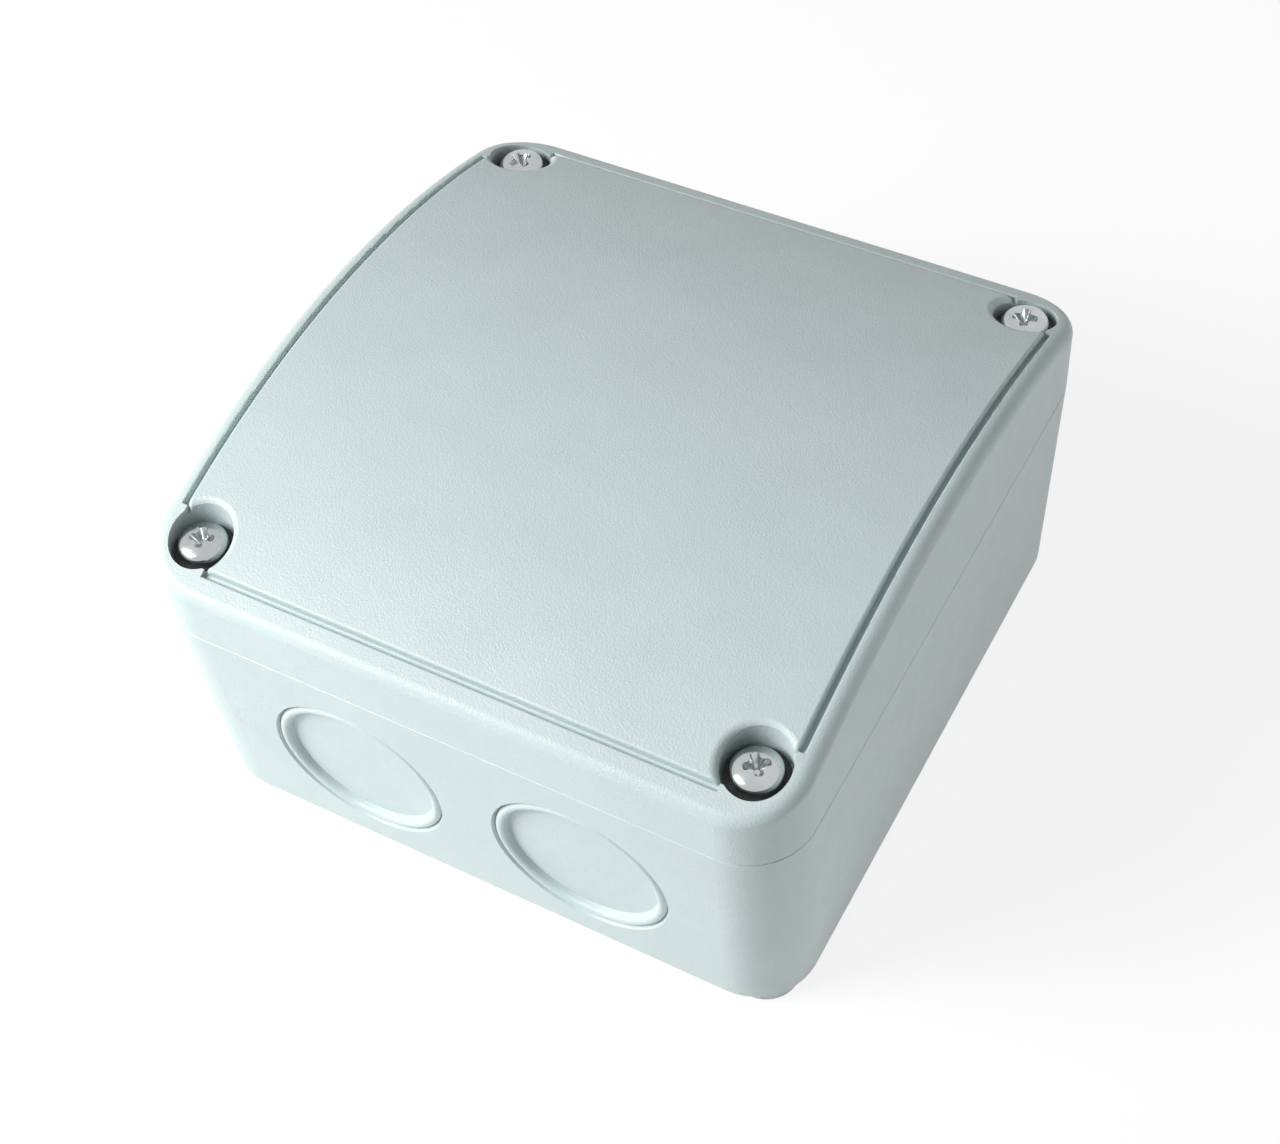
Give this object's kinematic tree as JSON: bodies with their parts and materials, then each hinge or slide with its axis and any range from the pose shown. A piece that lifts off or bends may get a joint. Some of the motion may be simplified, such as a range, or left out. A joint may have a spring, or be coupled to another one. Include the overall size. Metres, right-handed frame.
{
  "type": "garage door controller",
  "caption": "Square wall-mounted plastic case with an arched screw-down lid, round cable knockouts and a radio receiver board with relays and terminals.",
  "frame": {"origin": "centre of the case's outline, at the underside of its feet", "axes": "+Z out of the wall, up through the lid; -Y towards the cable knockouts; +X to the right seen from the knockouts"},
  "size_m": [0.0992, 0.1018, 0.0589],
  "materials": {
    "case_plastic": "fine moulded grain",
    "seal_rubber": "matte",
    "insert_brass": "turned",
    "zinc_plated_steel": "bright zinc plate",
    "washer_rubber": "matte",
    "board_laminate": "green solder mask",
    "output_block_plastic": "moulded, green",
    "power_block_plastic": "moulded, blue",
    "tinned_metal": "tinned",
    "terminal_steel": "zinc plate",
    "terminal_cage_brass": "nickel-plated",
    "relay_case": "moulded, blue",
    "fuse_cap_metal": "nickel-plated",
    "fuse_tube_glass": "clear",
    "varistor_coat": "dipped coating, blue",
    "black_component": "moulded",
    "can_sleeve": "shrunk sleeve",
    "resonator_coat": "dipped coating, orange",
    "radio_can_metal": "tinned",
    "aerial_wire": "enamelled copper wire",
    "button_body": "moulded",
    "button_steel": "pressed plate",
    "button_red": "moulded, red",
    "button_grey": "moulded, grey",
    "lamp_lens": "tinted lens",
    "jumper_plastic": "moulded, blue",
    "resistor_coat": "lacquer with colour bands",
    "ceramic_coat": "dipped coating, tan"
  },
  "bodies": {
    "base": {"aerial": "aerial_wire", "base": "case_plastic", "board_screws": "zinc_plated_steel", "brass_inserts": "insert_brass", "bridge_rectifier": "black_component", "button_housings": "button_body", "button_plates": "button_steel", "ceramic_capacitors": "ceramic_coat", "chip_socket": "black_component", "circuit_board": "board_laminate", "clock_resonator": "resonator_coat", "diodes": "black_component", "fuse_clips": "tinned_metal", "jumper_header": "black_component", "jumper_pins": "tinned_metal", "logic_capacitor": "can_sleeve", "microcontroller": "black_component", "output_terminal_block": "output_block_plastic", "power_terminal_block": "power_block_plastic", "radio_board": "board_laminate", "radio_can": "radio_can_metal", "radio_header": "black_component", "radio_parts": "black_component", "relay_1": "relay_case", "relay_2": "relay_case", "relay_pins": "tinned_metal", "resistors": "resistor_coat", "status_lamps": "lamp_lens", "supply_capacitor": "can_sleeve", "surge_varistor": "varistor_coat", "terminal_contacts": "tinned_metal", "transistors": "black_component", "voltage_regulator": "black_component"},
    "lid": {"lid": "case_plastic", "lid_seal": "seal_rubber"},
    "washer_front_left": {"screw_washer_front_left": "washer_rubber"},
    "screw_front_left": {"lid_screw_front_left": "zinc_plated_steel"},
    "washer_front_right": {"screw_washer_front_right": "washer_rubber"},
    "screw_front_right": {"lid_screw_front_right": "zinc_plated_steel"},
    "washer_back_left": {"screw_washer_back_left": "washer_rubber"},
    "screw_back_left": {"lid_screw_back_left": "zinc_plated_steel"},
    "washer_back_right": {"screw_washer_back_right": "washer_rubber"},
    "screw_back_right": {"lid_screw_back_right": "zinc_plated_steel"},
    "terminal_screw_power_1": {"terminal_screw_power_1": "terminal_steel"},
    "terminal_cage_power_1": {"terminal_cage_power_1": "terminal_cage_brass"},
    "terminal_screw_power_2": {"terminal_screw_power_2": "terminal_steel"},
    "terminal_cage_power_2": {"terminal_cage_power_2": "terminal_cage_brass"},
    "terminal_screw_output_1": {"terminal_screw_output_1": "terminal_steel"},
    "terminal_cage_output_1": {"terminal_cage_output_1": "terminal_cage_brass"},
    "terminal_screw_output_2": {"terminal_screw_output_2": "terminal_steel"},
    "terminal_cage_output_2": {"terminal_cage_output_2": "terminal_cage_brass"},
    "terminal_screw_output_3": {"terminal_screw_output_3": "terminal_steel"},
    "terminal_cage_output_3": {"terminal_cage_output_3": "terminal_cage_brass"},
    "terminal_screw_output_4": {"terminal_screw_output_4": "terminal_steel"},
    "terminal_cage_output_4": {"terminal_cage_output_4": "terminal_cage_brass"},
    "learn_button_1": {"learn_button_1": "button_red"},
    "learn_button_2": {"learn_button_2": "button_grey"},
    "jumper_cap": {"jumper_cap": "jumper_plastic"},
    "fuse": {"fuse_caps": "fuse_cap_metal", "fuse_glass": "fuse_tube_glass"}
  },
  "joints": [
    {"name": "lid_lift", "type": "slide", "parent": "base", "child": "lid", "axis": [0, 0, 1], "range_m": [0, 0.06]},
    {"name": "screw_front_left_rise", "type": "slide", "parent": "lid", "child": "washer_front_left", "axis": [0, 0, 1], "range_m": [0, 0.0102]},
    {"name": "screw_front_left_turn", "type": "hinge", "parent": "washer_front_left", "child": "screw_front_left", "pos_m": [-0.0423, -0.04285, 0.0488], "axis": [0, 0, 1], "range_deg": [0, 6125]},
    {"name": "screw_front_right_rise", "type": "slide", "parent": "lid", "child": "washer_front_right", "axis": [0, 0, 1], "range_m": [0, 0.0102]},
    {"name": "screw_front_right_turn", "type": "hinge", "parent": "washer_front_right", "child": "screw_front_right", "pos_m": [0.0423, -0.04285, 0.0488], "axis": [0, 0, 1], "range_deg": [0, 6125]},
    {"name": "screw_back_left_rise", "type": "slide", "parent": "lid", "child": "washer_back_left", "axis": [0, 0, 1], "range_m": [0, 0.0102]},
    {"name": "screw_back_left_turn", "type": "hinge", "parent": "washer_back_left", "child": "screw_back_left", "pos_m": [-0.0423, 0.04285, 0.0488], "axis": [0, 0, 1], "range_deg": [0, 6125]},
    {"name": "screw_back_right_rise", "type": "slide", "parent": "lid", "child": "washer_back_right", "axis": [0, 0, 1], "range_m": [0, 0.0102]},
    {"name": "screw_back_right_turn", "type": "hinge", "parent": "washer_back_right", "child": "screw_back_right", "pos_m": [0.0423, 0.04285, 0.0488], "axis": [0, 0, 1], "range_deg": [0, 6125]},
    {"name": "terminal_screw_power_1_turn", "type": "hinge", "parent": "base", "child": "terminal_screw_power_1", "pos_m": [-0.02938, -0.0211, 0.0195], "axis": [0, 0, -1], "range_deg": [0, 1765]},
    {"name": "terminal_cage_power_1_rise", "type": "slide", "parent": "base", "child": "terminal_cage_power_1", "axis": [0, 0, 1], "range_m": [0, 0.0022]},
    {"name": "terminal_screw_power_2_turn", "type": "hinge", "parent": "base", "child": "terminal_screw_power_2", "pos_m": [-0.0243, -0.0211, 0.0195], "axis": [0, 0, -1], "range_deg": [0, 1765]},
    {"name": "terminal_cage_power_2_rise", "type": "slide", "parent": "base", "child": "terminal_cage_power_2", "axis": [0, 0, 1], "range_m": [0, 0.0022]},
    {"name": "terminal_screw_output_1_turn", "type": "hinge", "parent": "base", "child": "terminal_screw_output_1", "pos_m": [-0.01048, -0.0211, 0.0195], "axis": [0, 0, -1], "range_deg": [0, 1765]},
    {"name": "terminal_cage_output_1_rise", "type": "slide", "parent": "base", "child": "terminal_cage_output_1", "axis": [0, 0, 1], "range_m": [0, 0.0022]},
    {"name": "terminal_screw_output_2_turn", "type": "hinge", "parent": "base", "child": "terminal_screw_output_2", "pos_m": [-0.0054, -0.0211, 0.0195], "axis": [0, 0, -1], "range_deg": [0, 1765]},
    {"name": "terminal_cage_output_2_rise", "type": "slide", "parent": "base", "child": "terminal_cage_output_2", "axis": [0, 0, 1], "range_m": [0, 0.0022]},
    {"name": "terminal_screw_output_3_turn", "type": "hinge", "parent": "base", "child": "terminal_screw_output_3", "pos_m": [-0.00032, -0.0211, 0.0195], "axis": [0, 0, -1], "range_deg": [0, 1765]},
    {"name": "terminal_cage_output_3_rise", "type": "slide", "parent": "base", "child": "terminal_cage_output_3", "axis": [0, 0, 1], "range_m": [0, 0.0022]},
    {"name": "terminal_screw_output_4_turn", "type": "hinge", "parent": "base", "child": "terminal_screw_output_4", "pos_m": [0.00476, -0.0211, 0.0195], "axis": [0, 0, -1], "range_deg": [0, 1765]},
    {"name": "terminal_cage_output_4_rise", "type": "slide", "parent": "base", "child": "terminal_cage_output_4", "axis": [0, 0, 1], "range_m": [0, 0.0022]},
    {"name": "learn_button_1_press", "type": "slide", "parent": "base", "child": "learn_button_1", "axis": [0, 0, -1], "range_m": [0, 0.00025], "stiffness_N_per_m": 2000},
    {"name": "learn_button_2_press", "type": "slide", "parent": "base", "child": "learn_button_2", "axis": [0, 0, -1], "range_m": [0, 0.00025], "stiffness_N_per_m": 2000},
    {"name": "jumper_cap_pull", "type": "slide", "parent": "base", "child": "jumper_cap", "axis": [0, 0, 1], "range_m": [0, 0.008]},
    {"name": "fuse_pull", "type": "slide", "parent": "base", "child": "fuse", "axis": [0, 0, 1], "range_m": [0, 0.01]}
  ],
  "couplings": [
    {"joint": "screw_front_left_turn", "follows": "screw_front_left_rise", "rad_per_m": 10472},
    {"joint": "screw_front_right_turn", "follows": "screw_front_right_rise", "rad_per_m": 10472},
    {"joint": "screw_back_left_turn", "follows": "screw_back_left_rise", "rad_per_m": 10472},
    {"joint": "screw_back_right_turn", "follows": "screw_back_right_rise", "rad_per_m": 10472},
    {"joint": "terminal_screw_power_1_turn", "follows": "terminal_cage_power_1_rise", "rad_per_m": 13963},
    {"joint": "terminal_screw_power_2_turn", "follows": "terminal_cage_power_2_rise", "rad_per_m": 13963},
    {"joint": "terminal_screw_output_1_turn", "follows": "terminal_cage_output_1_rise", "rad_per_m": 13963},
    {"joint": "terminal_screw_output_2_turn", "follows": "terminal_cage_output_2_rise", "rad_per_m": 13963},
    {"joint": "terminal_screw_output_3_turn", "follows": "terminal_cage_output_3_rise", "rad_per_m": 13963},
    {"joint": "terminal_screw_output_4_turn", "follows": "terminal_cage_output_4_rise", "rad_per_m": 13963}
  ]
}
